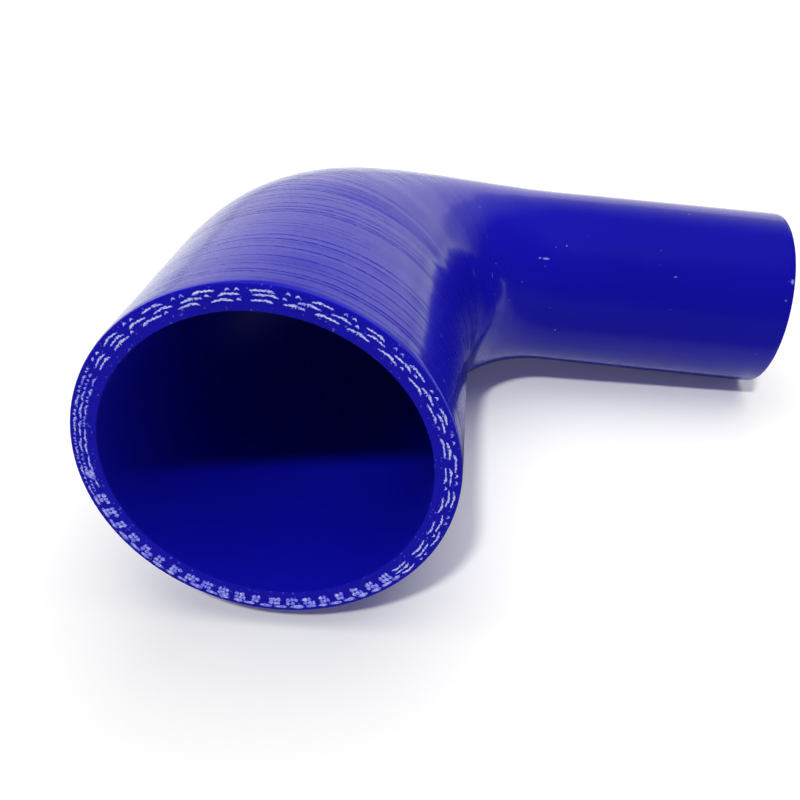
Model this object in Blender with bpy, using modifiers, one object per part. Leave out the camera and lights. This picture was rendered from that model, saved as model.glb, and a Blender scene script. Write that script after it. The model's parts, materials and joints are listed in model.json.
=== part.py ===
"""Silicone elbow hose: a 90 degree reducer, moulded in one piece, lying as it comes to rest.

The hose is worked out flat in its own plane, with the axes of its two legs crossing at the
origin. It is then tipped over to the side that it settles on and set down on Z = 0, with the
middle of its footprint at the origin and its large mouth facing -Y.
"""

import math

import bmesh
import bpy
from mathutils import Matrix, Vector

# The two pipes that the hose joins, which its bores fit over.
LARGE_BORE = 0.0635
SMALL_BORE = 0.0380

# One wall all along: three plies of fabric bonded in silicone.
WALL = 0.0052

# Each leg runs from the crossing of the two axes to its cut end.
LARGE_LEG = 0.1075
SMALL_LEG = 0.1210

# The bend is measured on the centreline. The bore keeps its large size for the taper's lead,
# and has come down to its small size where the bend ends.
BEND_RADIUS = 0.0605
BEND_ANGLE = math.radians(90.0)
TAPER_LEAD = 0.0080

# The knife leaves the cut ends square, with their sharp corners just taken off.
EDGE_BREAK = 0.0004

# Facets of the round sections, and stations along each stretch of the centreline.
SIDES = 64
LEG_STATIONS = 4
BEND_STATIONS = 26

# The finish in the photograph: deep blue, glossy rubber.
HOSE_COLOUR = (0.010, 0.009, 0.330, 1.0)
HOSE_ROUGHNESS = 0.30

COLLECTION_NAME = "silicone_elbow_hose"
HOSE_NAME = "elbow_hose"


def clear_scene():
    """Remove whatever the open file holds."""
    for old in list(bpy.data.objects):
        bpy.data.objects.remove(old, do_unlink=True)


def make_collection(name):
    """Add a collection to the scene."""
    collection = bpy.data.collections.new(name)
    bpy.context.scene.collection.children.link(collection)
    return collection


def hose_material():
    """Glossy deep blue silicone rubber."""
    material = bpy.data.materials.new("blue_silicone")
    material.use_nodes = True
    shader = material.node_tree.nodes["Principled BSDF"]
    shader.inputs["Base Color"].default_value = HOSE_COLOUR
    shader.inputs["Roughness"].default_value = HOSE_ROUGHNESS
    shader.inputs["Metallic"].default_value = 0.0
    material.diffuse_color = HOSE_COLOUR
    return material


def bend_tangent():
    """Length of each leg that the bend takes up, from the crossing of the axes."""
    return BEND_RADIUS * math.tan(BEND_ANGLE / 2.0)


def bend_point(turned):
    """Point on the centreline of the bend, after turning this far from the large leg."""
    along = BEND_RADIUS * math.sin(turned) - bend_tangent()
    across = BEND_RADIUS * (1.0 - math.cos(turned))
    return Vector((across, along, 0.0))


def smooth_step(share):
    """Rise from 0 to 1 that starts and ends level."""
    return share * share * (3.0 - 2.0 * share)


def bore_radius(turned):
    """Radius of the bore, after turning this far from the large leg."""
    large = LARGE_BORE / 2.0
    small = SMALL_BORE / 2.0
    taper_length = BEND_RADIUS * BEND_ANGLE - TAPER_LEAD
    share = (BEND_RADIUS * turned - TAPER_LEAD) / taper_length
    return large + (small - large) * smooth_step(max(share, 0.0))


def leg_stations(start, end, radius):
    """Even stations on a straight leg, each a point and the outer radius there."""
    stations = []
    for step in range(LEG_STATIONS + 1):
        point = start.lerp(end, step / LEG_STATIONS)
        stations.append((point, radius))
    return stations


def hose_stations():
    """Stations along the whole centreline, from the large mouth to the small end."""
    large_outer = LARGE_BORE / 2.0 + WALL
    small_outer = SMALL_BORE / 2.0 + WALL
    small_way = Vector((math.sin(BEND_ANGLE), math.cos(BEND_ANGLE), 0.0))
    large_mouth = Vector((0.0, -LARGE_LEG, 0.0))
    small_mouth = small_way * SMALL_LEG

    stations = leg_stations(large_mouth, bend_point(0.0), large_outer)
    for step in range(1, BEND_STATIONS):
        turned = BEND_ANGLE * step / BEND_STATIONS
        stations.append((bend_point(turned), bore_radius(turned) + WALL))
    stations += leg_stations(bend_point(BEND_ANGLE), small_mouth, small_outer)
    return stations


def outer_skin(stations):
    """Mesh of the outside of the hose: an open tube swept along the stations."""
    widest = max(radius for point, radius in stations)
    curve = bpy.data.curves.new("hose_centreline", "CURVE")
    curve.dimensions = "3D"
    curve.twist_mode = "Z_UP"
    curve.bevel_depth = widest
    curve.bevel_resolution = (SIDES - 4) // 2
    curve.use_fill_caps = False

    spline = curve.splines.new("POLY")
    spline.points.add(len(stations) - 1)
    for control, (point, radius) in zip(spline.points, stations):
        control.co = (point.x, point.y, point.z, 1.0)
        control.radius = radius / widest

    guide = bpy.data.objects.new("hose_centreline", curve)
    bpy.context.scene.collection.objects.link(guide)
    bpy.context.view_layer.update()
    evaluated = guide.evaluated_get(bpy.context.evaluated_depsgraph_get())
    mesh = bpy.data.meshes.new_from_object(evaluated)
    bpy.data.objects.remove(guide)
    bpy.data.curves.remove(curve)
    return mesh


def face_outwards(mesh):
    """Merge the seam of the sweep and turn every face away from the bore."""
    shell = bmesh.new()
    shell.from_mesh(mesh)
    bmesh.ops.remove_doubles(shell, verts=shell.verts, dist=0.00001)
    bmesh.ops.recalc_face_normals(shell, faces=shell.faces)
    first = min(shell.faces, key=lambda face: face.calc_center_median().y)
    centre = first.calc_center_median()
    if first.normal.dot(Vector((centre.x, 0.0, centre.z))) < 0.0:
        bmesh.ops.reverse_faces(shell, faces=shell.faces)
    shell.to_mesh(mesh)
    shell.free()


def add_wall(hose):
    """Give the skin its wall, inwards, and take the corners off the cut ends."""
    wall = hose.modifiers.new("wall", "SOLIDIFY")
    wall.thickness = WALL
    wall.offset = -1.0
    wall.use_even_offset = True
    wall.use_rim = True

    corners = hose.modifiers.new("edge_break", "BEVEL")
    corners.width = EDGE_BREAK
    corners.segments = 1
    corners.limit_method = "ANGLE"
    corners.angle_limit = math.radians(60.0)


def apply_modifiers(thing):
    """Replace the object's mesh by what its modifiers make of it."""
    bpy.context.view_layer.update()
    evaluated = thing.evaluated_get(bpy.context.evaluated_depsgraph_get())
    finished = bpy.data.meshes.new_from_object(evaluated)
    thing.modifiers.clear()
    rough = thing.data
    thing.data = finished
    bpy.data.meshes.remove(rough)


def signed_volume(corners):
    """Volume of the tetrahedron from the origin to a triangle of the surface."""
    first, second, third = corners
    return first.dot(second.cross(third)) / 6.0


def balance_point(mesh):
    """Centre of mass of the solid that the mesh encloses."""
    mesh.calc_loop_triangles()
    volume = 0.0
    moment = Vector()
    for triangle in mesh.loop_triangles:
        corners = [mesh.vertices[index].co for index in triangle.vertices]
        share = signed_volume(corners)
        volume += share
        moment += sum(corners, Vector()) * (share / 4.0)
    return moment / volume


def stands_over(face, balance):
    """True if the balance point is straight over this face when the face is underneath."""
    for edge in face.loops:
        start = edge.vert.co
        end = edge.link_loop_next.vert.co
        inwards = face.normal.cross(end - start)
        if inwards.dot(balance - start) < 0.0:
            return False
    return True


def resting_side(mesh):
    """Direction that points down when the hose has settled on its flatter side.

    A loose body settles on a face of its hull that has the balance point straight over it.
    Of those, the hose lies on the one that faces most nearly across the plane of the elbow.
    """
    balance = balance_point(mesh)
    hull = bmesh.new()
    hull.from_mesh(mesh)
    found = bmesh.ops.convex_hull(hull, input=hull.verts, use_existing_faces=False)
    outside = {piece for piece in found["geom"] if isinstance(piece, bmesh.types.BMFace)}
    settled = [face for face in outside if stands_over(face, balance)]
    lowest = min(settled, key=lambda face: face.normal.z)
    down = lowest.normal.copy()
    hull.free()
    return down


def lay_down(mesh):
    """Tip the hose onto its resting side and centre its footprint on the origin."""
    down = resting_side(mesh)
    tip = down.rotation_difference(Vector((0.0, 0.0, -1.0)))
    mesh.transform(tip.to_matrix().to_4x4())
    low = Vector([min(vertex.co[axis] for vertex in mesh.vertices) for axis in range(3)])
    high = Vector([max(vertex.co[axis] for vertex in mesh.vertices) for axis in range(3)])
    middle = (low + high) / 2.0
    mesh.transform(Matrix.Translation((-middle.x, -middle.y, -low.z)))


def make_elbow_hose(collection):
    """The hose itself, one solid with its bore open from end to end."""
    mesh = outer_skin(hose_stations())
    face_outwards(mesh)
    hose = bpy.data.objects.new(HOSE_NAME, mesh)
    collection.objects.link(hose)
    add_wall(hose)
    apply_modifiers(hose)
    lay_down(hose.data)
    hose.data.name = HOSE_NAME
    hose.data.materials.clear()
    hose.data.materials.append(hose_material())
    hose.data.shade_smooth()
    hose.data.set_sharp_from_angle(angle=math.radians(30.0))
    return hose


def main():
    clear_scene()
    collection = make_collection(COLLECTION_NAME)
    make_elbow_hose(collection)


main()
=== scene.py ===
"""Looks of the silicone elbow hose: its wrapped skin, smooth bore, cut ends and frayed yarn."""

import json
import math
import random

import bpy
import numpy as np
from bpy.props import FloatProperty, FloatVectorProperty, IntProperty, PointerProperty
from mathutils import Matrix, Vector, noise


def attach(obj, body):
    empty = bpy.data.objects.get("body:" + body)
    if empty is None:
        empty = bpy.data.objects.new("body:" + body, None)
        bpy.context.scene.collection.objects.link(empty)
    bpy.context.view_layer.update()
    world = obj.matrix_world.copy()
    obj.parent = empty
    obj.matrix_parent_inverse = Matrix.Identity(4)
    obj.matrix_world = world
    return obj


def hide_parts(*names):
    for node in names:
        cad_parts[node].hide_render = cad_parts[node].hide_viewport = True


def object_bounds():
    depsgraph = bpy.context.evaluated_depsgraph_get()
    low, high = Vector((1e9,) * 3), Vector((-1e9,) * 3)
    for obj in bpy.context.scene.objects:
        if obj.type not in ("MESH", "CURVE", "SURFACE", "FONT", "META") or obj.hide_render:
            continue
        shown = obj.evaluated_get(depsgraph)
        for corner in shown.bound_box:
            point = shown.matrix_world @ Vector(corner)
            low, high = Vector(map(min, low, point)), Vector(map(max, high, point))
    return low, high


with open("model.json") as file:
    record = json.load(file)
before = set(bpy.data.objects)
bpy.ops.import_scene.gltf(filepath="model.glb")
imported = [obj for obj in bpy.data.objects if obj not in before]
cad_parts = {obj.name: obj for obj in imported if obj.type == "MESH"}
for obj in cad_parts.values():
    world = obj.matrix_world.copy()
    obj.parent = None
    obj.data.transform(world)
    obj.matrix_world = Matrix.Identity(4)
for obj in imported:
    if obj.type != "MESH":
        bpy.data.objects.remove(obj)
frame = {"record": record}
CAD_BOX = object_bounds()
MOUNTS = {mount["name"]: mount for mount in frame["record"]["mounts"]}

bl_info = {
    "name": "Silicone Elbow Hose",
    "version": (1, 0, 0),
    "blender": (4, 5, 0),
    "location": "View3D > Sidebar > Elbow Hose",
    "description": "Models a reinforced silicone reducing elbow and the studio it lies in",
    "category": "Add Mesh",
}

MM = 0.001
BODY = "root"
NODE = "elbow_hose"


# Settings

class HoseShape(bpy.types.PropertyGroup):
    """Sizes of the hose, as it is moulded."""

    large_bore: FloatProperty(
        name="Large Bore", description="Inside diameter of the large end",
        default=63.5 * MM, unit="LENGTH",
    )
    small_bore: FloatProperty(
        name="Small Bore", description="Inside diameter of the small end",
        default=38.0 * MM, unit="LENGTH",
    )
    wall: FloatProperty(
        name="Wall", description="Thickness of the rubber with its three plies",
        default=5.2 * MM, unit="LENGTH",
    )
    large_leg: FloatProperty(
        name="Large Leg", description="From the crossing of the axes to the large end",
        default=107.5 * MM, unit="LENGTH",
    )
    small_leg: FloatProperty(
        name="Small Leg", description="From the crossing of the axes to the small end",
        default=121.0 * MM, unit="LENGTH",
    )
    bend_radius: FloatProperty(
        name="Bend Radius", description="Radius of the bend on the centreline",
        default=60.5 * MM, unit="LENGTH",
    )
    taper_lead: FloatProperty(
        name="Taper Lead", description="How far into the bend the bore keeps its large size",
        default=8.0 * MM, unit="LENGTH",
    )
    edge_drop: FloatProperty(
        name="Edge Drop", description="How far the skin draws in at a cut end",
        default=0.24 * MM, unit="LENGTH",
    )
    edge_reach: FloatProperty(
        name="Edge Reach", description="How far from a cut end the skin starts to draw in",
        default=1.5 * MM, unit="LENGTH",
    )
    edge_break: FloatProperty(
        name="Edge Break", description="Rounding of the corners of the cut ends",
        default=0.28 * MM, unit="LENGTH",
    )
    ring_swell: FloatProperty(
        name="Ring Swell", description="Height of the broad rings that the wrapping tape leaves",
        default=0.055 * MM, unit="LENGTH",
    )
    hand_swell: FloatProperty(
        name="Hand Swell", description="Height of the slow unevenness of a hand laid wall",
        default=0.12 * MM, unit="LENGTH",
    )
    cut_back: FloatProperty(
        name="Cut Back", description="How far the rubber springs back behind the cut yarn",
        default=0.10 * MM, unit="LENGTH",
    )
    sides: IntProperty(
        name="Sides", description="Points in one ring of the skin", default=144, min=16,
    )


class HoseFinish(bpy.types.PropertyGroup):
    """Colours and gloss of the rubber and the yarn."""

    skin_colour: FloatVectorProperty(
        name="Skin", description="Colour of the outside", subtype="COLOR",
        default=(0.0075, 0.0055, 0.430), min=0.0, max=1.0,
    )
    bore_colour: FloatVectorProperty(
        name="Bore", description="Colour of the inside", subtype="COLOR",
        default=(0.0050, 0.0052, 0.455), min=0.0, max=1.0,
    )
    cut_colour: FloatVectorProperty(
        name="Cut Face", description="Colour of the rubber in the cut ends", subtype="COLOR",
        default=(0.0075, 0.0055, 0.420), min=0.0, max=1.0,
    )
    # A painted highlight: the paler band of skin along the edge of the large end.
    rim_highlight_colour: FloatVectorProperty(
        name="Rim", description="Colour of the skin at the edge of the large end", subtype="COLOR",
        default=(0.020, 0.024, 0.60), min=0.0, max=1.0,
    )
    # This colour also paints the glints among the marks, which are painted highlights.
    dust_and_glint_colour: FloatVectorProperty(
        name="Dust", description="Colour of the specks and scuffs on the outside", subtype="COLOR",
        default=(0.34, 0.33, 0.85), min=0.0, max=1.0,
    )
    crumb_colour: FloatVectorProperty(
        name="Crumbs", description="Colour of the rubber crumbs on a cut end", subtype="COLOR",
        default=(0.20, 0.19, 0.75), min=0.0, max=1.0,
    )
    yarn_colour: FloatVectorProperty(
        name="Yarn", description="Colour of the bare polyester yarn", subtype="COLOR",
        default=(0.68, 0.72, 1.0), min=0.0, max=1.0,
    )
    veiled_colour: FloatVectorProperty(
        name="Veiled Yarn", description="Colour of yarn under a film of rubber", subtype="COLOR",
        default=(0.27, 0.28, 1.0), min=0.0, max=1.0,
    )
    coated_colour: FloatVectorProperty(
        name="Coated Yarn", description="Colour of yarn under a blotch of rubber", subtype="COLOR",
        default=(0.13, 0.13, 0.95), min=0.0, max=1.0,
    )
    skin_roughness: FloatProperty(
        name="Skin Roughness", description="Roughness of the glossy outside",
        default=0.12, min=0.0, max=1.0,
    )
    wrap_depth: FloatProperty(
        name="Wrap Depth", description="Depth of the fine lines that the wrapping tape leaves",
        default=0.045 * MM, unit="LENGTH",
    )


class YarnSizes(bpy.types.PropertyGroup):
    """Sizes of the yarn that shows in the cut ends."""

    strand_length: FloatProperty(
        name="Strand Length", description="Length of a strand that lies along the cut",
        default=4.2 * MM, unit="LENGTH",
    )
    tuft_length: FloatProperty(
        name="Tuft Length", description="Length of a yarn that the knife cut across",
        default=0.80 * MM, unit="LENGTH",
    )
    fibre: FloatProperty(
        name="Fibre", description="Thickness of one bundle of fibres in a strand",
        default=0.38 * MM, unit="LENGTH",
    )
    seed: IntProperty(name="Seed", description="Seed of the yarn's unevenness", default=11)


class StudioSettings(bpy.types.PropertyGroup):
    """Camera, lamps and floor."""

    camera_place: FloatVectorProperty(
        name="Camera Place", description="Where the camera stands", subtype="XYZ", unit="LENGTH",
        default=(-5.53 * MM, -178.32 * MM, 142.44 * MM),
    )
    camera_swing: FloatProperty(
        name="Camera Swing", description="Turn of the camera from +Y towards -X",
        default=math.radians(5.693), unit="ROTATION",
    )
    camera_dip: FloatProperty(
        name="Camera Dip", description="How far the camera looks down",
        default=math.radians(35.970), unit="ROTATION",
    )
    camera_roll: FloatProperty(
        name="Camera Roll", description="Roll of the camera about its line of sight",
        default=math.radians(-0.549), unit="ROTATION",
    )
    lens: FloatProperty(
        name="Lens", description="Focal length on a 36 mm sensor", default=37.244, unit="CAMERA",
    )
    key_strength: FloatProperty(
        name="Key Strength", description="Strength of the lamp over the camera", default=1.45,
    )
    key_side: FloatProperty(
        name="Key Side", description="Direction of the key lamp, from +Y towards +X",
        default=math.radians(-170.0), unit="ROTATION",
    )
    key_height: FloatProperty(
        name="Key Height", description="Angle of the key lamp above the floor",
        default=math.radians(57.6), unit="ROTATION",
    )
    key_spread: FloatProperty(
        name="Key Spread", description="Angle across the key lamp",
        default=math.radians(5.0), unit="ROTATION",
    )
    top_power: FloatProperty(
        name="Top Power", description="Power of the wide soft box overhead", default=14.5,
        unit="POWER",
    )
    top_place: FloatVectorProperty(
        name="Top Place", description="Where the soft box hangs", subtype="XYZ", unit="LENGTH",
        default=(100.0 * MM, 200.0 * MM, 1300.0 * MM),
    )
    top_size: FloatProperty(
        name="Top Size", description="Side of the square soft box", default=1600.0 * MM,
        unit="LENGTH",
    )
    room_level: FloatProperty(
        name="Room Level", description="Brightness of the room round the set", default=0.14,
    )
    glow_level: FloatProperty(
        name="Glow Level", description="Brightness of the lit backdrop in reflections",
        default=0.97,
    )
    spill_level: FloatProperty(
        name="Spill Level", description="Brightness of the light that spills past the backdrop",
        default=0.50,
    )


# Measuring along the hose

def shape():
    return bpy.context.scene.hose_shape


def large_outer():
    return shape().large_bore / 2.0 + shape().wall


def small_outer():
    return shape().small_bore / 2.0 + shape().wall


def large_run():
    """Straight length of the large leg."""
    return shape().large_leg - shape().bend_radius


def small_run():
    """Straight length of the small leg."""
    return shape().small_leg - shape().bend_radius


def bend_length():
    return shape().bend_radius * math.pi / 2.0


def hose_length():
    return large_run() + bend_length() + small_run()


def smooth_step(share):
    share = np.clip(share, 0.0, 1.0)
    return share * share * (3.0 - 2.0 * share)


def outer_radius(along):
    """Outer radius at each distance from the large end, along the centreline."""
    lead = large_run() + shape().taper_lead
    share = smooth_step((along - lead) / (bend_length() - shape().taper_lead))
    return large_outer() + (small_outer() - large_outer()) * share


def centreline(along):
    """Points of the centreline and its directions, in the hose's own plane."""
    turned = np.clip((along - large_run()) / shape().bend_radius, 0.0, math.pi / 2.0)
    way = np.stack([np.sin(turned), np.cos(turned), np.zeros_like(turned)], axis=-1)
    radius = shape().bend_radius
    across = radius * (1.0 - np.cos(turned)) + np.clip(along - large_run() - bend_length(), 0.0, None)
    ahead = radius * (np.sin(turned) - 1.0) - np.clip(large_run() - along, 0.0, None)
    return np.stack([across, ahead, np.zeros_like(turned)], axis=-1), way


def hose_points(along, around, radius):
    """Points at these distances along, angles around (from the inside of the bend) and radii."""
    centre, way = centreline(along)
    inside = np.stack([way[..., 1], -way[..., 0], np.zeros_like(along)], axis=-1)
    upward = np.array([0.0, 0.0, 1.0])
    spoke = np.cos(around)[..., None] * inside + np.sin(around)[..., None] * upward
    return centre + radius[..., None] * spoke


def place_on_hose(points):
    """Distance along, angle around and radius of points in the hose's own plane."""
    radius = shape().bend_radius
    from_pivot = points[:, :2] - np.array([radius, -radius])
    turned = np.arctan2(from_pivot[:, 1], -from_pivot[:, 0])
    on_large = points[:, 1] < -radius
    on_small = (points[:, 0] > radius) & ~on_large
    along = large_run() + radius * turned
    along = np.where(on_large, points[:, 1] + shape().large_leg, along)
    along = np.where(on_small, hose_length() - shape().small_leg + points[:, 0], along)
    centre, way = centreline(along)
    inside = np.stack([way[:, 1], -way[:, 0], np.zeros(len(points))], axis=-1)
    spoke = points - centre
    out = np.einsum("ij,ij->i", spoke, inside)
    return along, np.arctan2(spoke[:, 2], out), np.hypot(spoke[:, 2], out)


def lying_down():
    """Matrix from the hose's own plane to where the frame has it lying."""
    small_way = Vector(MOUNTS["small_end_face"]["axis"]).normalized()
    large_way = -Vector(MOUNTS["large_end_face"]["axis"]).normalized()
    upward = small_way.cross(large_way).normalized()
    large_way = upward.cross(small_way)
    turn = Matrix((small_way, large_way, upward)).transposed()
    stations = np.linspace(0.0, hose_length(), 300)
    angles = np.linspace(0.0, 2.0 * math.pi, 361)
    along, around = np.meshgrid(stations, angles)
    points = hose_points(along, around, outer_radius(along)).reshape(-1, 3) @ np.array(turn).T
    low, high = points.min(axis=0), points.max(axis=0)
    centre = (low + high) / 2.0
    middle = (CAD_BOX[0] + CAD_BOX[1]) / 2.0
    shift = Vector((middle.x - centre[0], middle.y - centre[1], CAD_BOX[0].z - low[2]))
    return Matrix.Translation(shift) @ turn.to_4x4()


# Modelling helpers

def start_clean():
    """Leave edit mode and deselect everything."""
    if bpy.context.mode != "OBJECT":
        bpy.ops.object.mode_set(mode="OBJECT")
    bpy.ops.object.select_all(action="DESELECT")


def mesh_points(mesh):
    points = np.zeros(len(mesh.vertices) * 3)
    mesh.vertices.foreach_get("co", points)
    return points.reshape(-1, 3)


def move_points(mesh, points):
    mesh.vertices.foreach_set("co", points.astype(np.float32).ravel())
    mesh.update()


def apply_modifier(thing, kind, **settings):
    """Add a modifier, set it and apply it."""
    modifier = thing.modifiers.new(kind.lower(), kind)
    for name, value in settings.items():
        setattr(modifier, name, value)
    bpy.context.view_layer.objects.active = thing
    bpy.ops.object.modifier_apply(modifier=modifier.name)


def hand_in(thing, name):
    """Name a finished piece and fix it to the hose's body."""
    thing.name = name
    thing.data.name = name
    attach(thing, BODY)


# Materials

class Value:
    """A number that varies over a surface, on which sums are written as they are read."""

    def __init__(self, graph, socket):
        self.graph = graph
        self.socket = socket

    def __add__(self, other):
        return self.graph.sum_of("ADD", self, other)

    __radd__ = __add__

    def __sub__(self, other):
        return self.graph.sum_of("SUBTRACT", self, other)

    def __rsub__(self, other):
        return self.graph.sum_of("SUBTRACT", other, self)

    def __mul__(self, other):
        return self.graph.sum_of("MULTIPLY", self, other)


class Graph:
    """The nodes of a material or a world under construction."""

    def __init__(self, owner, shader):
        owner.use_nodes = True
        self.tree = owner.node_tree
        self.shader = self.tree.nodes[shader]

    def node(self, kind, inputs=None, output=0, **settings):
        """Add a node, set it, feed it and return one of its outputs."""
        node = self.tree.nodes.new(kind)
        for name, value in settings.items():
            setattr(node, name, value)
        for name, value in (inputs or {}).items():
            self.feed(node.inputs[name], value)
        return Value(self, node.outputs[output])

    def feed(self, socket, value):
        """Link a varying value to a socket, or write a plain one on it."""
        if isinstance(value, Value):
            self.tree.links.new(value.socket, socket)
        else:
            socket.default_value = value

    def sum_of(self, operation, first, second=0.0):
        """A sum of one or two numbers."""
        return self.node("ShaderNodeMath", {0: first, 1: second}, operation=operation)

    def set(self, **values):
        """Feed the shader's sockets, named with _ for a space."""
        for name, value in values.items():
            self.feed(self.shader.inputs[name.replace("_", " ")], value)

    def mix(self, share, first, second):
        """Blend two colours."""
        inputs = {"Factor": share, 6: first, 7: second}
        return self.node("ShaderNodeMix", inputs, output=2, data_type="RGBA")

    def spread(self, value, low, high, to_low=0.0, to_high=1.0):
        """Stretch a value from one range to another, kept within it."""
        inputs = {0: value, 1: low, 2: high, 3: to_low, 4: to_high}
        return self.node("ShaderNodeMapRange", inputs, clamp=True)

    def scaled(self, vector, factors):
        """Stretch a vector by a factor along each axis."""
        return self.node("ShaderNodeVectorMath", {0: vector, 1: factors}, operation="MULTIPLY")

    def grain(self, vector, scale, detail=2.0, roughness=0.5):
        """Noise at this many to the metre."""
        inputs = {"Vector": vector, "Scale": scale, "Detail": detail, "Roughness": roughness}
        return self.node("ShaderNodeTexNoise", inputs)

    def chance(self, number):
        """A random share for each whole number."""
        return self.node("ShaderNodeTexWhiteNoise", {"W": number}, noise_dimensions="1D")

    def bump(self, height, depth):
        """Bump whose full height is this deep."""
        inputs = {"Height": height, "Distance": depth, "Strength": 1.0}
        return self.node("ShaderNodeBump", inputs)


class Finish(Graph):
    """A material under construction."""

    def __init__(self, name):
        self.material = bpy.data.materials.new(name)
        super().__init__(self.material, "Principled BSDF")


def colour(values):
    return (values[0], values[1], values[2], 1.0)


def grey(level):
    return (level, level, level, 1.0)


def tinted(values, factor):
    """A lighter or darker shade of a colour."""
    return (values[0] * factor, values[1] * factor, values[2] * factor, 1.0)


# Pitch and width of the fine and of the bold lines that the tape leaves, and how far one strays.
FINE_LINES = (1.05 * MM, 0.18 * MM)
BOLD_LINES = (2.1 * MM, 0.36 * MM)
LINE_WANDER = 1.1 * MM

# Distances from the large end over which the lines are rubbed off, over which painted shade
# darkens the skin, and over which the painted highlight along its edge ends.
RUBBED_RUN = (85.0 * MM, 118.0 * MM)
PAINTED_SHADE_RUN = (110.0 * MM, 165.0 * MM)
RIM_HIGHLIGHT_RUN = (0.4 * MM, 1.3 * MM)


def wrap_lines(finish, place, pitch, width, shift=0.0):
    """Thin lines round the hose, one in each pitch at a place of its own: 1 there, 0 between.

    Another shift gives other places.
    """
    along = finish.node("ShaderNodeSeparateXYZ", {0: place}, output=2)
    wander = finish.grain(finish.scaled(place, (1.0, 1.0, 0.4)), 34.0) - 0.5
    turns = (along + wander * LINE_WANDER) * (1.0 / pitch) + shift
    number = finish.sum_of("FLOOR", turns)
    own_place = finish.chance(number) * 0.7 + 0.15
    strength = finish.spread(finish.chance(number + 0.37), 0.0, 0.7, 0.25, 1.0)
    away = finish.sum_of("ABSOLUTE", turns - number - own_place) * pitch
    patchy = finish.grain(place, 120.0, detail=3.0, roughness=0.7)
    broken = finish.spread(patchy, 0.34, 0.54, 0.45, 1.0)
    dotted = finish.spread(finish.grain(place, 1100.0, detail=1.0), 0.36, 0.50, 0.45, 1.0)
    return finish.spread(away, 0.0, width, 1.0, 0.0) * (strength * broken * dotted)


def tape_lines(finish, place):
    """The fine and the bold lines, clearest on the inner side and rubbed off past mid bend."""
    across = finish.node("ShaderNodeSeparateXYZ", {0: place}, output=0)
    along = finish.node("ShaderNodeSeparateXYZ", {0: place}, output=2)
    fine = wrap_lines(finish, place, *FINE_LINES)
    bold = wrap_lines(finish, place, *BOLD_LINES, shift=41.3)
    clear = finish.spread(across, -14.0 * MM, 30.0 * MM, 0.60, 2.0)
    rubbed = finish.spread(along, *RUBBED_RUN, 1.0, 0.04)
    either = finish.sum_of("MAXIMUM", fine * 0.35, bold)
    return finish.sum_of("MINIMUM", either * clear, 1.0) * rubbed


# Scuffs and specks of use, then painted glints: how far along the hose and at what angle round it
# in degrees, then half their length along it and half their width round it. All the lengths are in
# mm.
MARKS = (
    (131.8, 33.2, 0.60, 0.26),
    (134.4, 33.0, 1.70, 0.36),
    (142.2, 42.5, 0.24, 0.24),
    (110.2, 62.9, 0.28, 0.28),
    (123.7, 18.7, 0.20, 0.24),
    (142.4, -13.8, 0.24, 0.26),
    (201.6, 34.0, 0.55, 0.80),
    (32.6, 61.6, 1.20, 0.11),
    (106.0, 24.0, 0.14, 0.90),
    # Painted glints: small highlights near the mouth and one on the bend, in the colour of the
    # specks.
    (90.1, 27.6, 0.16, 1.30),
    (44.2, 21.9, 0.30, 0.30),
    (19.1, 35.4, 0.40, 0.20),
    (21.2, 24.8, 0.22, 0.34),
    (5.7, 31.5, 0.30, 0.22),
    (7.9, 25.3, 0.45, 0.18),
)


def mark(finish, place, along, around, long, wide):
    """One small mark: 1 inside it, fading to 0 at its edge."""
    reach = large_outer()
    angle = math.radians(around)
    centre = (reach * math.cos(angle), reach * math.sin(angle), along * MM)
    offset = finish.node("ShaderNodeVectorMath", {0: place, 1: centre}, operation="SUBTRACT")
    unrolled_wide = wide * MM * reach / float(outer_radius(np.array(along * MM)))
    reciprocals = (1.0 / unrolled_wide, 1.0 / unrolled_wide, 1.0 / (long * MM))
    shrunk = finish.scaled(offset, reciprocals)
    away = finish.node("ShaderNodeVectorMath", {0: shrunk}, output=1, operation="LENGTH")
    return finish.spread(away, 0.45, 1.0, 1.0, 0.0)


def dust_scuffs_and_glints(finish, place, pebble):
    """Scattered dusty specks, with the marks of use and the painted glints where they lie."""
    specks = finish.spread(finish.grain(place, 950.0, detail=0.0), 0.83, 0.85)
    dusty = finish.spread(finish.grain(place, 75.0), 0.58, 0.61)
    worn_and_glinting = 0.0
    for along, around, long, wide in MARKS:
        worn_and_glinting = finish.sum_of("MAXIMUM", mark(finish, place, along, around, long, wide), worn_and_glinting)
    scuffed_and_glinting = worn_and_glinting * finish.spread(pebble, 0.25, 0.45, 0.3, 1.0)
    return finish.sum_of("MAXIMUM", specks * dusty * 0.6, scuffed_and_glinting)


def skin_base(finish, place, pebble, lines):
    """Blue in soft patches, with painted shade in the lines and on the small leg, and a painted
    highlight at the mouth's edge.
    """
    look = bpy.context.scene.hose_finish
    along = finish.node("ShaderNodeSeparateXYZ", {0: place}, output=2)
    patches = finish.spread(finish.grain(place, 26.0, detail=3.0), 0.3, 0.7)
    deep = tinted(look.skin_colour, 0.35)
    base = finish.mix(patches, tinted(look.skin_colour, 0.96), tinted(look.skin_colour, 1.04))
    # Painted shade: the skin darkens along the small leg.
    base = finish.mix(finish.spread(along, *PAINTED_SHADE_RUN, 0.0, 0.26), base, deep)
    pitted = finish.spread(pebble, 0.3, 0.7, 0.0, 0.08)
    base = finish.mix(pitted, base, tinted(look.skin_colour, 0.55))
    # Painted shade: the base darkens in the tape lines, standing in for shade in their grooves.
    base = finish.mix(lines * 0.22, base, deep)
    # Painted highlight: a paler band of skin along the edge of the large end.
    rim_highlight = finish.spread(along, *RIM_HIGHLIGHT_RUN, 0.8, 0.0)
    return finish.mix(rim_highlight, base, colour(look.rim_highlight_colour))


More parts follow.
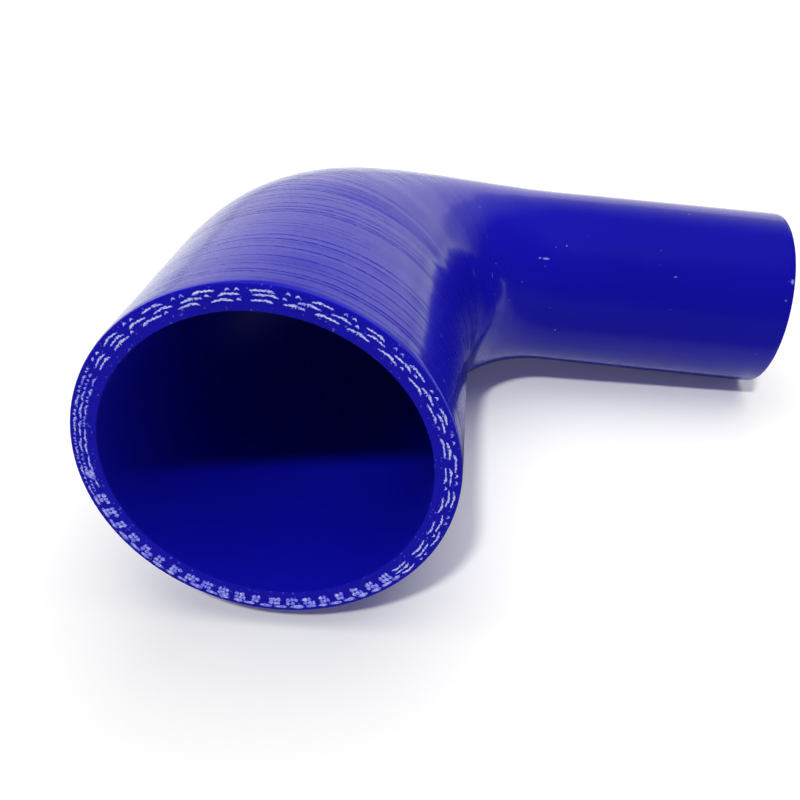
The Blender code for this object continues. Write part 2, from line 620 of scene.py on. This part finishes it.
def skin_finish():
    """Glossy blue rubber that still shows the turns of the tape it was cured in."""
    look = bpy.context.scene.hose_finish
    finish = Finish("wrapped_skin")
    place = finish.node("ShaderNodeAttribute", output=1, attribute_name="unrolled")
    lines = tape_lines(finish, place)
    pebble = finish.grain(place, 1900.0)
    soft = finish.grain(finish.scaled(place, (0.12, 0.12, 1.0)), 210.0)
    height = soft * 0.22 - lines * 0.08 + pebble * 0.13
    dust_and_glints = dust_scuffs_and_glints(finish, place, pebble)

    base = skin_base(finish, place, pebble, lines)
    # Specks and scuffs, and the painted glints, in their paler colour.
    base = finish.mix(dust_and_glints * 0.75, base, colour(look.dust_and_glint_colour))
    rough = look.skin_roughness + 0.08 + lines * 0.55 + dust_and_glints * 0.3 + pebble * 0.08
    shine = (1.0 - lines) * finish.spread(pebble, 0.30, 0.70, 1.0, 0.70)
    finish.set(Base_Color=base, Roughness=rough, IOR=1.42, Specular_IOR_Level=0.06)
    finish.set(Coat_Weight=shine, Coat_Roughness=look.skin_roughness, Coat_IOR=1.42)
    finish.set(Normal=finish.bump(height, look.wrap_depth))
    return finish.material


def bore_finish():
    """Smooth blue rubber, as the polished mandrel leaves it."""
    look = bpy.context.scene.hose_finish
    finish = Finish("moulded_bore")
    place = finish.node("ShaderNodeAttribute", output=1, attribute_name="unrolled")
    clouds = finish.grain(place, 60.0, detail=3.0)
    faint = finish.grain(finish.scaled(place, (1.0, 1.0, 0.15)), 500.0, detail=1.0)
    base = finish.mix(clouds, tinted(look.bore_colour, 0.90), tinted(look.bore_colour, 1.08))
    rough = 0.34 + faint * 0.10
    finish.set(Base_Color=base, Roughness=rough, IOR=1.45, Normal=finish.bump(faint, 0.010 * MM))
    return finish.material


def cut_finish():
    """Rubber where the knife went through: duller, with faint drag marks."""
    look = bpy.context.scene.hose_finish
    finish = Finish("cut_rubber")
    place = finish.node("ShaderNodeTexCoord", output=3)
    clouds = finish.grain(place, 220.0, detail=3.0)
    drag = finish.grain(finish.scaled(place, (1.0, 1.0, 0.2)), 1500.0)
    crumbs = finish.spread(finish.grain(place, 1900.0, detail=0.0), 0.74, 0.80)
    base = finish.mix(clouds, tinted(look.cut_colour, 0.80), tinted(look.cut_colour, 1.18))
    base = finish.mix(crumbs * 0.45, base, colour(look.crumb_colour))
    rough = 0.55 + drag * 0.14
    finish.set(Base_Color=base, Roughness=rough, IOR=1.38, Specular_IOR_Level=0.10)
    finish.set(Normal=finish.bump(drag, 0.025 * MM))
    return finish.material


def yarn_finish():
    """White polyester yarn, blue where the rubber still coats it."""
    look = bpy.context.scene.hose_finish
    finish = Finish("polyester_yarn")
    place = finish.node("ShaderNodeTexCoord", output=3)
    coat = finish.node("ShaderNodeAttribute", output=2, attribute_name="coated")
    clouds = finish.grain(place, 2100.0)
    twist = finish.grain(place, 5200.0, detail=1.0)
    covered = finish.spread(clouds + coat * 0.20, 0.50, 0.68)
    veiled = finish.mix(coat, colour(look.yarn_colour), colour(look.veiled_colour))
    base = finish.mix(covered * 0.85, veiled, colour(look.coated_colour))
    rough = 0.55 + twist * 0.2
    finish.set(Base_Color=base, Roughness=rough, IOR=1.5, Normal=finish.bump(twist, 0.02 * MM))
    return finish.material


# The hose

# How many rings the large leg, the bend and the small leg have.
LARGE_RINGS = 50
BEND_RINGS = 110
SMALL_RINGS = 62

# The first steps from a cut end, which are close together because the skin draws in there.
END_STEPS = (0.3 * MM, 0.4 * MM, 0.5 * MM, 0.6 * MM, 0.8 * MM)


def ring_steps(length, rings):
    """Steps from a cut end along a straight run: close ones first, then even ones."""
    rest = length - sum(END_STEPS)
    return list(END_STEPS) + [rest / rings] * rings


def sweep_tube():
    """Sweep a ring up the large leg, round the bend and out along the small leg."""
    start_clean()
    bpy.ops.mesh.primitive_circle_add(
        vertices=shape().sides, radius=large_outer(), fill_type="NOTHING",
        location=(0.0, shape().cut_back - shape().large_leg, 0.0), rotation=(math.pi / 2.0, 0.0, 0.0),
    )
    bpy.ops.object.transform_apply(location=True, rotation=True, scale=True)
    bpy.ops.object.mode_set(mode="EDIT")
    bpy.ops.mesh.select_all(action="SELECT")
    for step in ring_steps(large_run() - shape().cut_back, LARGE_RINGS):
        bpy.ops.mesh.extrude_edges_move(TRANSFORM_OT_translate={"value": (0.0, step, 0.0)})
    pivot = (shape().bend_radius, -shape().bend_radius, 0.0)
    bpy.ops.mesh.spin(steps=BEND_RINGS, angle=math.pi / 2.0, center=pivot, axis=(0.0, 0.0, 1.0))
    for step in reversed(ring_steps(small_run() - shape().cut_back, SMALL_RINGS)):
        bpy.ops.mesh.extrude_edges_move(TRANSFORM_OT_translate={"value": (step, 0.0, 0.0)})
    bpy.ops.mesh.select_all(action="SELECT")
    bpy.ops.mesh.remove_doubles(threshold=0.01 * MM)
    bpy.ops.mesh.normals_make_consistent(inside=False)
    bpy.ops.object.mode_set(mode="OBJECT")
    return bpy.context.object


def taper_tube(tube):
    """Draw each ring in to the hose's outer radius there."""
    along, around = place_on_hose(mesh_points(tube.data))[:2]
    move_points(tube.data, hose_points(along, around, outer_radius(along)))


def swell(along, around):
    """Unevenness of the wall from -1 to 1: the rings of the tape, then the swells of the hand.

    The factors are how many bumps there are to the metre, round the hose and along it.
    """
    rings = np.zeros(len(along))
    swells = np.zeros(len(along))
    reach = large_outer()
    for index, (distance, angle) in enumerate(zip(along, around)):
        x, y = reach * math.cos(angle), reach * math.sin(angle)
        rings[index] = noise.noise(Vector((x * 22.0, y * 22.0, distance * 190.0)))
        swells[index] = noise.noise(Vector((x * 40.0, y * 40.0, distance * 42.0 + 7.0)))
    return rings, swells


# Share of the swells that the bore has, and how far the outside may stand over its true radius.
BORE_SHARE = 0.4
MOST_RISE = 0.02 * MM


def work_surface(hose):
    """Draw the skin in at the cut ends and give it the unevenness of a wrapped wall."""
    along, around, radius = place_on_hose(mesh_points(hose.data))
    outside = radius > outer_radius(along) - shape().wall / 2.0
    to_end = np.minimum(along, hose_length() - along) - shape().cut_back
    fade = smooth_step(to_end / shape().edge_reach)
    rings, swells = swell(along, around)
    rise = (rings * shape().ring_swell + swells * shape().hand_swell) * fade
    drop = shape().edge_drop * (1.0 - np.clip(to_end / shape().edge_reach, 0.0, 1.0)) ** 2
    across = np.clip((radius - outer_radius(along) + shape().wall) / shape().wall, 0.0, 1.0)
    in_bore = swells * shape().hand_swell * BORE_SHARE * fade
    change = np.where(outside, rise - drop * across ** 4, in_bore)
    limit = np.where(outside, outer_radius(along) + MOST_RISE, 1.0)
    move_points(hose.data, hose_points(along, around, np.minimum(radius + change, limit)))


def mark_places(hose):
    """Store where each point would lie if the hose were a straight pipe, for the patterns."""
    along, around = place_on_hose(mesh_points(hose.data))[:2]
    reach = large_outer()
    places = np.stack([reach * np.cos(around), reach * np.sin(around), along], axis=-1)
    attribute = hose.data.attributes.new("unrolled", "FLOAT_VECTOR", "POINT")
    attribute.data.foreach_set("vector", places.astype(np.float32).ravel())


def paint_hose(hose):
    """Give the skin, the bore and the cut ends a material each."""
    hose.data.materials.clear()
    for material in (skin_finish(), bore_finish(), cut_finish()):
        hose.data.materials.append(material)
    centres = np.zeros(len(hose.data.polygons) * 3)
    normals = np.zeros(len(hose.data.polygons) * 3)
    hose.data.polygons.foreach_get("center", centres)
    hose.data.polygons.foreach_get("normal", normals)
    along, _, radius = place_on_hose(centres.reshape(-1, 3))
    way = centreline(along)[1]
    facing = np.abs(np.einsum("ij,ij->i", normals.reshape(-1, 3), way))
    at_end = np.minimum(along, hose_length() - along) < shape().cut_back + shape().edge_break
    inside = radius < outer_radius(along) - shape().wall / 2.0
    index = np.where(at_end & (facing > 0.35), 2, np.where(inside, 1, 0))
    hose.data.polygons.foreach_set("material_index", index.astype(np.int32))


class HOSE_OT_skin(bpy.types.Operator):
    """Model the hose: swept, tapered, given its wall and finished"""

    bl_idname = "hose.skin"
    bl_label = "Hose"

    def execute(self, context):
        hose = sweep_tube()
        taper_tube(hose)
        apply_modifier(hose, "SOLIDIFY", thickness=shape().wall, offset=-1.0, use_even_offset=True)
        apply_modifier(
            hose, "BEVEL", width=shape().edge_break, segments=3,
            limit_method="ANGLE", angle_limit=math.radians(60.0),
        )
        work_surface(hose)
        mark_places(hose)
        paint_hose(hose)
        hose.data.transform(lying_down())
        hose.data.shade_smooth()
        hand_in(hose, "hose_skin")
        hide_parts(NODE)
        return {"FINISHED"}


# The yarn in the cut ends

def add_fibre(start, reach, thick, steps):
    """A straight closed fibre along X, to be bent into shape."""
    start_clean()
    bpy.ops.mesh.primitive_circle_add(
        vertices=6, radius=thick / 2.0, fill_type="NGON",
        location=(start, 0.0, 0.0), rotation=(0.0, math.pi / 2.0, 0.0),
    )
    bpy.ops.object.transform_apply(location=True, rotation=True, scale=True)
    bpy.ops.object.mode_set(mode="EDIT")
    bpy.ops.mesh.select_all(action="SELECT")
    for _ in range(steps):
        bpy.ops.mesh.extrude_region_move(TRANSFORM_OT_translate={"value": (reach / steps, 0.0, 0.0)})
    bpy.ops.mesh.select_all(action="SELECT")
    bpy.ops.mesh.normals_make_consistent(inside=False)
    bpy.ops.object.mode_set(mode="OBJECT")
    return bpy.context.object


def join_things(things):
    """Join several objects into the first one."""
    start_clean()
    for thing in things:
        thing.select_set(True)
    bpy.context.view_layer.objects.active = things[0]
    if len(things) > 1:
        bpy.ops.object.join()
    return bpy.context.view_layer.objects.active


# Length of one step along a bundle of a strand, as near as whole steps come to it.
FIBRE_STEP = 0.20 * MM


def make_strand(length, rng):
    """A strand along X that the knife laid open: a bundle, another beside it, and cut fibres."""
    fibre = bpy.context.scene.yarn_sizes.fibre
    phase = rng.uniform(0.0, 2.0 * math.pi)
    arch = rng.uniform(0.1, 0.45) * fibre
    curl = rng.uniform(0.3, 0.8) * fibre
    split = rng.uniform(0.35, 0.65)
    gap = rng.uniform(0.0, 0.05)
    # Where each bundle begins, its share of the length, how far aside it lies and its thickness.
    bundles = [
        (0.0, split - gap, 0.0, rng.uniform(0.75, 1.0)),
        (split, 1.0 - split, rng.uniform(-0.2, 0.1) * fibre, rng.uniform(0.75, 1.0)),
        (rng.uniform(0.1, 0.4), rng.uniform(0.2, 0.4), 0.45 * fibre, 0.7),
    ]
    made = []
    for begin, share_long, aside, thickness in bundles:
        reach = length * share_long
        steps = max(4, int(reach / FIBRE_STEP))
        bundle = add_fibre(begin * length, reach, fibre * thickness, steps)
        points = mesh_points(bundle.data)
        share = points[:, 0] / length
        within = np.clip((share - begin) / share_long, 0.0, 1.0)
        lumps = 1.0 + 0.30 * np.sin(share * 37.0 + phase) + 0.22 * np.sin(share * 71.0 + 2.0 * phase)
        tips = 0.35 + 0.65 * np.clip(np.sin(within * math.pi), 0.0, 1.0) ** 0.5
        points[:, 1] *= lumps * tips
        points[:, 2] *= 0.6 * tips
        path = arch * (1.0 - (2.0 * share - 1.0) ** 2) + 0.10 * fibre * np.sin(share * 29.0 + phase)
        points[:, 1] += path + aside - curl * np.exp(-share * 16.0)
        points[:, 0] -= length / 2.0
        move_points(bundle.data, points)
        made.append(bundle)
    for _ in range(rng.randint(2, 4)):
        made.append(make_tooth(rng.uniform(-0.42, 0.42) * length, arch, rng))
    return join_things(made)


def make_tooth(across, arch, rng):
    """A single fibre that the knife cut and pulled out of a strand, towards the bore."""
    fibre = bpy.context.scene.yarn_sizes.fibre
    reach = rng.uniform(0.5, 1.0) * fibre
    tooth = add_fibre(0.0, reach, 0.48 * fibre, 3)
    points = mesh_points(tooth.data)
    lean = rng.uniform(-0.6, 0.6)
    out = points[:, 0].copy()
    points[:, 0] = across + points[:, 1] + lean * out
    points[:, 1] = arch * 0.7 - out
    points[:, 2] *= 0.5
    move_points(tooth.data, points)
    return tooth


def make_tuft(length, rng):
    """The cut end of a yarn that only touches the knife: a short arched wisp."""
    fibre = bpy.context.scene.yarn_sizes.fibre
    wisp = add_fibre(0.0, length, fibre * rng.uniform(1.0, 1.2), 6)
    points = mesh_points(wisp.data)
    share = points[:, 0] / length
    points[:, 1:] *= (0.60 + 0.40 * np.sin(np.clip(share, 0.0, 1.0) * math.pi))[:, None]
    points[:, 2] *= 0.5
    points[:, 1] += fibre * rng.uniform(0.5, 1.1) * np.sin(share * math.pi * rng.uniform(0.7, 1.1))
    points[:, 0] -= length / 2.0
    move_points(wisp.data, points)
    return wisp


def make_stub(length, thick, rng):
    """The cut end of a yarn that crosses the knife: a rounded bunch of fibres."""
    fibre = bpy.context.scene.yarn_sizes.fibre
    bunch = add_fibre(0.0, length, thick * rng.uniform(0.88, 1.14), 5)
    points = mesh_points(bunch.data)
    share = np.clip(points[:, 0] / length, 0.0, 1.0)
    ragged = 1.0 + 0.22 * np.sin(share * 7.0 + rng.uniform(0.0, 6.0))
    points[:, 1] *= (0.40 + 0.60 * np.sin(share * math.pi) ** 0.5) * ragged
    points[:, 2] *= 0.3
    points[:, 1] += fibre * rng.uniform(-0.15, 0.15)
    points[:, 0] -= length * rng.uniform(0.42, 0.58)
    move_points(bunch.data, points)
    return bunch


# Shares of the wall, from the bore, at which the three plies lie.
ROW_SHARES = (0.745, 0.575, 0.390)

# The degrees round a cut end, from the inside of the bend and over the top, between which the yarn
# shows as dots and short strands, and as rows of cut ends. The rest shows strands along the cut.
DOTTED_SECTOR = (146.0, 196.0)
CUT_SECTOR = (196.0, 318.0)

# The place where one turn of the fabric laps over the next, in the same degrees.
OVERLAP_PLACE = 190.0

# One repeat of the weave along the middle ply, by which the rows of cut ends line up.
WEAVE_REPEAT = 3.65 * MM

# Thickness of a single cut end, and of one that stands in a bunch, in fibres.
STUB_FIBRES = 2.3
BUNCH_FIBRES = 2.6


def in_sector(angle, sector):
    return sector[0] < math.degrees(angle) % 360.0 < sector[1]


def weave_runs(angle, row, rng):
    """What the yarn shows of one repeat of the weave at this angle of a cut end.

    Each run is the kind of yarn, its length, the gap after it, and how much rubber coats it.
    """
    yarn = bpy.context.scene.yarn_sizes
    full, tuft = yarn.strand_length, yarn.tuft_length
    draw = rng.uniform
    if in_sector(angle, DOTTED_SECTOR):
        dots = [
            ("tuft", tuft * draw(0.45, 0.80), tuft * draw(0.20, 0.60), draw(0.30, 0.60))
            for _ in range(rng.choice((2, 3, 4)))
        ]
        strand = ("strand", full * draw(0.4, 0.9), full * draw(0.04, 0.12), 0.30)
        if row == 0:
            return dots + [strand]
        return dots if rng.random() < 0.35 else [strand]
    if in_sector(angle, CUT_SECTOR):
        if row == 0:
            return [("stub", full * draw(0.45, 0.68), full * draw(0.08, 0.22), 0.45)]
        return [
            ("bunch", tuft * draw(0.80, 1.30), tuft * draw(-0.08, 0.14), draw(0.25, 0.65))
            for _ in range(rng.choice((2, 3, 3)))
        ]
    strand = ("strand", full * draw(0.88, 1.08), full * draw(0.34, 0.50), 0.05)
    if row == 0:
        return [strand, ("tuft", tuft, tuft, 0.25), ("tuft", tuft, 2.2 * tuft, 0.25)]
    if rng.random() < 0.30:
        return [strand, ("tuft", tuft, 0.7 * tuft, 0.2)]
    return [strand]


def lay_copy(source, angle, length, radius, coat, rng):
    """A copy of a master, bent along the cut at this angle, with the coat it has kept."""
    copy = source.copy()
    copy.data = source.data.copy()
    bpy.context.scene.collection.objects.link(copy)
    points = mesh_points(copy.data)
    stretch = length / (points[:, 0].max() - points[:, 0].min())
    bend = angle - points[:, 0] * stretch * rng.choice((-1.0, 1.0)) / radius
    out = radius + rng.uniform(-0.07, 0.07) * MM + points[:, 1]
    depth = points[:, 2] * 0.9 + rng.uniform(-0.02, 0.0) * MM
    move_points(copy.data, np.stack([out * np.cos(bend), -depth, out * np.sin(bend)], axis=-1))
    to_tip = np.abs(points[:, 0]) * stretch * 2.0 / length
    apart = np.abs(points[:, 1]) / bpy.context.scene.yarn_sizes.fibre
    level = coat + rng.uniform(-0.10, 0.14) + 0.40 * to_tip ** 4
    level = level + 0.35 * np.clip(apart - 0.6, 0.0, 1.0)
    coated = copy.data.attributes.new("coated", "FLOAT", "POINT")
    coated.data.foreach_set("value", np.clip(level, 0.0, 1.0).astype(np.float32))
    return copy


def lay_row(masters, bore, row, rng):
    """The yarn of one ply all round a cut end, in the plane of the cut."""
    radius = bore / 2.0 + shape().wall * ROW_SHARES[row]
    repeat = WEAVE_REPEAT / (bore / 2.0 + shape().wall * ROW_SHARES[1])
    laid = []
    angle = rng.uniform(0.0, 0.15)
    stop = angle + 2.0 * math.pi
    while angle < stop - 0.03:
        if row > 0 and in_sector(angle, CUT_SECTOR):
            angle = math.ceil(angle / repeat) * repeat
        for kind, length, gap, coat in weave_runs(angle, row, rng):
            turn = length / radius
            if angle + turn > stop:
                return laid
            source = rng.choice(masters[kind])
            laid.append(lay_copy(source, angle + turn / 2.0, length, radius, coat, rng))
            angle += turn + gap / radius
    return laid


def lay_overlap(masters, bore, rng):
    """Strands heaped where one turn of the fabric laps over the next."""
    yarn = bpy.context.scene.yarn_sizes
    laid = []
    for count in range(5):
        radius = bore / 2.0 + shape().wall * rng.uniform(0.36, 0.66)
        angle = math.radians(OVERLAP_PLACE + rng.uniform(-1.6, 1.6))
        length = yarn.strand_length * rng.uniform(0.3, 0.6)
        kind = ("strand", "bunch")[count % 2]
        source = rng.choice(masters[kind])
        laid.append(lay_copy(source, angle, length, radius, 0.35, rng))
    return laid


def lay_end(name, bore, place, seed):
    """All the yarn of one cut end, joined into one piece."""
    yarn = bpy.context.scene.yarn_sizes
    rng = random.Random(seed)
    masters = {
        "tuft": [make_tuft(yarn.tuft_length, rng) for _ in range(4)],
        "stub": [make_stub(yarn.tuft_length, STUB_FIBRES * yarn.fibre, rng) for _ in range(4)],
        "bunch": [make_stub(yarn.tuft_length, BUNCH_FIBRES * yarn.fibre, rng) for _ in range(6)],
        "strand": [make_strand(yarn.strand_length, rng) for _ in range(8)],
    }
    laid = []
    for row in range(len(ROW_SHARES)):
        laid += lay_row(masters, bore, row, rng)
    laid += lay_overlap(masters, bore, rng)
    ring = join_things(laid)
    for master in sum(masters.values(), []):
        bpy.data.objects.remove(master, do_unlink=True)
    ring.data.transform(lying_down() @ place)
    bpy.ops.object.mode_set(mode="EDIT")
    bpy.ops.mesh.select_all(action="SELECT")
    bpy.ops.mesh.normals_make_consistent(inside=False)
    bpy.ops.object.mode_set(mode="OBJECT")
    ring.data.shade_smooth()
    ring.data.materials.clear()
    ring.data.materials.append(yarn_finish())
    hand_in(ring, name)


class HOSE_OT_yarn(bpy.types.Operator):
    """Lay the cut yarn of the three plies in both ends"""

    bl_idname = "hose.yarn"
    bl_label = "Yarn Ends"

    def execute(self, context):
        seed = context.scene.yarn_sizes.seed
        back = shape().cut_back
        large_place = Matrix.Translation((0.0, back - shape().large_leg, 0.0))
        small_turn = Matrix.Rotation(math.pi / 2.0, 4, "Z")
        small_place = Matrix.Translation((shape().small_leg - back, 0.0, 0.0)) @ small_turn
        lay_end("large_end_yarn", shape().large_bore, large_place, seed)
        lay_end("small_end_yarn", shape().small_bore, small_place, seed + 1)
        return {"FINISHED"}


# The studio

def add_camera():
    """Stand the camera where the photograph was taken from."""
    studio = bpy.context.scene.studio
    start_clean()
    bpy.ops.object.camera_add(location=studio.camera_place)
    camera = bpy.context.object
    turn = Matrix.Rotation(studio.camera_swing, 4, "Z")
    turn = turn @ Matrix.Rotation(math.pi / 2.0 - studio.camera_dip, 4, "X")
    turn = turn @ Matrix.Rotation(studio.camera_roll, 4, "Z")
    camera.rotation_euler = turn.to_euler()
    camera.data.sensor_width = 36.0
    camera.data.lens = studio.lens
    camera.data.clip_start = 0.01
    camera.data.clip_end = 50.0
    bpy.context.scene.camera = camera


def aim(thing, target):
    """Turn a lamp to face a point."""
    thing.rotation_euler = (target - thing.location).to_track_quat("-Z", "Y").to_euler()


def add_key():
    """A small bright lamp over the photographer's left shoulder."""
    studio = bpy.context.scene.studio
    side, level = studio.key_side, math.cos(studio.key_height)
    way = Vector((math.sin(side) * level, math.cos(side) * level, math.sin(studio.key_height)))
    bpy.ops.object.light_add(type="SUN", location=way)
    key = bpy.context.object
    aim(key, Vector())
    key.data.energy = studio.key_strength
    key.data.angle = studio.key_spread
    key.visible_glossy = False


def add_top_box():
    """A wide soft box overhead, which opens up the shadows."""
    studio = bpy.context.scene.studio
    bpy.ops.object.light_add(type="AREA", location=studio.top_place)
    box = bpy.context.object
    aim(box, Vector())
    box.data.shape = "SQUARE"
    box.data.size = studio.top_size
    box.data.energy = studio.top_power
    box.visible_glossy = False


def floor_material():
    """White paper that keeps the shadow, and that reflections see as dark in front of the hose; for
    the camera it glows, which paints light into the shadow.
    """
    finish = Finish("floor_paper")
    camera_sees = finish.node("ShaderNodeLightPath", output=0)
    gloss_sees = finish.node("ShaderNodeLightPath", output=3)
    place = finish.node("ShaderNodeTexCoord", output=3)
    depth = finish.node("ShaderNodeSeparateXYZ", {0: place}, output=1)
    behind = finish.spread(depth, -10.0 * MM, 30.0 * MM)
    mirrored = finish.mix(behind, grey(0.05), grey(1.0))
    paper = finish.mix(gloss_sees, grey(0.85), mirrored)
    paper = finish.mix(camera_sees, paper, (1.0, 1.0, 0.93, 1.0))
    finish.set(Base_Color=paper, Roughness=0.9, Specular_IOR_Level=0.0)
    # Painted light: for the camera the floor glows faintly blue near the hose, lifting and tinting
    # its shadow, and strongly far off, where it turns the floor white.
    distance = finish.node("ShaderNodeVectorMath", {0: place}, output=1, operation="LENGTH")
    far = finish.spread(distance, 350.0 * MM, 1300.0 * MM)
    painted_glow = finish.mix(far, (0.045, 0.042, 0.085, 1.0), grey(0.9))
    painted_glow = finish.mix(camera_sees, grey(0.0), painted_glow)
    finish.set(Emission_Color=painted_glow, Emission_Strength=1.0)
    return finish.material


def add_floor():
    """A wide floor under the hose."""
    start_clean()
    bpy.ops.mesh.primitive_plane_add(size=12.0, location=(0.0, 0.0, 0.0))
    floor = bpy.context.object
    floor.name = "floor"
    floor.data.materials.append(floor_material())


def window(graph, value, low, high, soft):
    """1 where a value lies between two bounds, fading to 0 over a soft edge outside them."""
    rise = graph.spread(value, low - soft, low)
    fall = graph.spread(value, high, high + soft, 1.0, 0.0)
    return rise * fall


# Where reflections find the lit backdrop and the light that spills past it: from and to which
# side, from +Y towards +X, and between which heights, each with its soft edge. All in degrees.
BACKDROP_SIDES = (-125.0, 26.0, 2.5)
BACKDROP_HEIGHTS = (-30.0, 20.0, 5.0)
SPILL_SIDES = (8.0, 38.0, 18.0)
SPILL_HEIGHTS = (-30.0, 26.0, 30.0)

# Brightness of everything else in reflections.
DARK_LEVEL = 0.02


def set_world():
    """A dim room with a lit backdrop behind the hose, which the camera sees as plain white."""
    studio = bpy.context.scene.studio
    world = bpy.data.worlds.new("room")
    bpy.context.scene.world = world
    room = Graph(world, "Background")
    camera_sees = room.node("ShaderNodeLightPath", output=0)
    gloss_sees = room.node("ShaderNodeLightPath", output=3)
    direction = room.node("ShaderNodeTexCoord", output=0)
    x = room.node("ShaderNodeSeparateXYZ", {0: direction}, output=0)
    y = room.node("ShaderNodeSeparateXYZ", {0: direction}, output=1)
    z = room.node("ShaderNodeSeparateXYZ", {0: direction}, output=2)
    side = room.sum_of("ARCTAN2", x, y) * math.degrees(1.0)
    height = room.sum_of("ARCSINE", z) * math.degrees(1.0)
    backdrop = window(room, side, *BACKDROP_SIDES) * window(room, height, *BACKDROP_HEIGHTS)
    spill = window(room, side, *SPILL_SIDES) * window(room, height, *SPILL_HEIGHTS)
    lit = room.sum_of("MAXIMUM", backdrop * studio.glow_level, spill * studio.spill_level)
    glow = lit + DARK_LEVEL
    light = gloss_sees * glow + (1.0 - gloss_sees) * studio.room_level
    tint = room.mix(gloss_sees, (0.97, 0.98, 1.0, 1.0), (1.0, 0.95, 1.0, 1.0))
    tint = room.mix(camera_sees, tint, grey(1.0))
    room.set(Color=tint, Strength=room.sum_of("MAXIMUM", light, camera_sees))


class HOSE_OT_studio(bpy.types.Operator):
    """Set up the floor, the backdrop, the lamps and the camera"""

    bl_idname = "hose.studio"
    bl_label = "Studio"

    def execute(self, context):
        add_camera()
        add_floor()
        add_key()
        add_top_box()
        set_world()
        context.scene.view_settings.view_transform = "Standard"
        return {"FINISHED"}


class HOSE_PT_panel(bpy.types.Panel):
    """Buttons that build the hose"""

    bl_label = "Elbow Hose"
    bl_space_type = "VIEW_3D"
    bl_region_type = "UI"
    bl_category = "Elbow Hose"

    def draw(self, context):
        column = self.layout.column()
        for operator in (HOSE_OT_studio, HOSE_OT_skin, HOSE_OT_yarn):
            column.operator(operator.bl_idname)


GROUPS = (
    ("hose_shape", HoseShape),
    ("hose_finish", HoseFinish),
    ("yarn_sizes", YarnSizes),
    ("studio", StudioSettings),
)
CLASSES = (HOSE_OT_studio, HOSE_OT_skin, HOSE_OT_yarn, HOSE_PT_panel)


def register():
    for name, group in GROUPS:
        bpy.utils.register_class(group)
        setattr(bpy.types.Scene, name, PointerProperty(type=group))
    for item in CLASSES:
        bpy.utils.register_class(item)


def unregister():
    for item in reversed(CLASSES):
        bpy.utils.unregister_class(item)
    for name, group in reversed(GROUPS):
        delattr(bpy.types.Scene, name)
        bpy.utils.unregister_class(group)


def main():
    register()
    bpy.ops.hose.studio()
    bpy.ops.hose.skin()
    bpy.ops.hose.yarn()


if __name__ == "__main__":
    main()
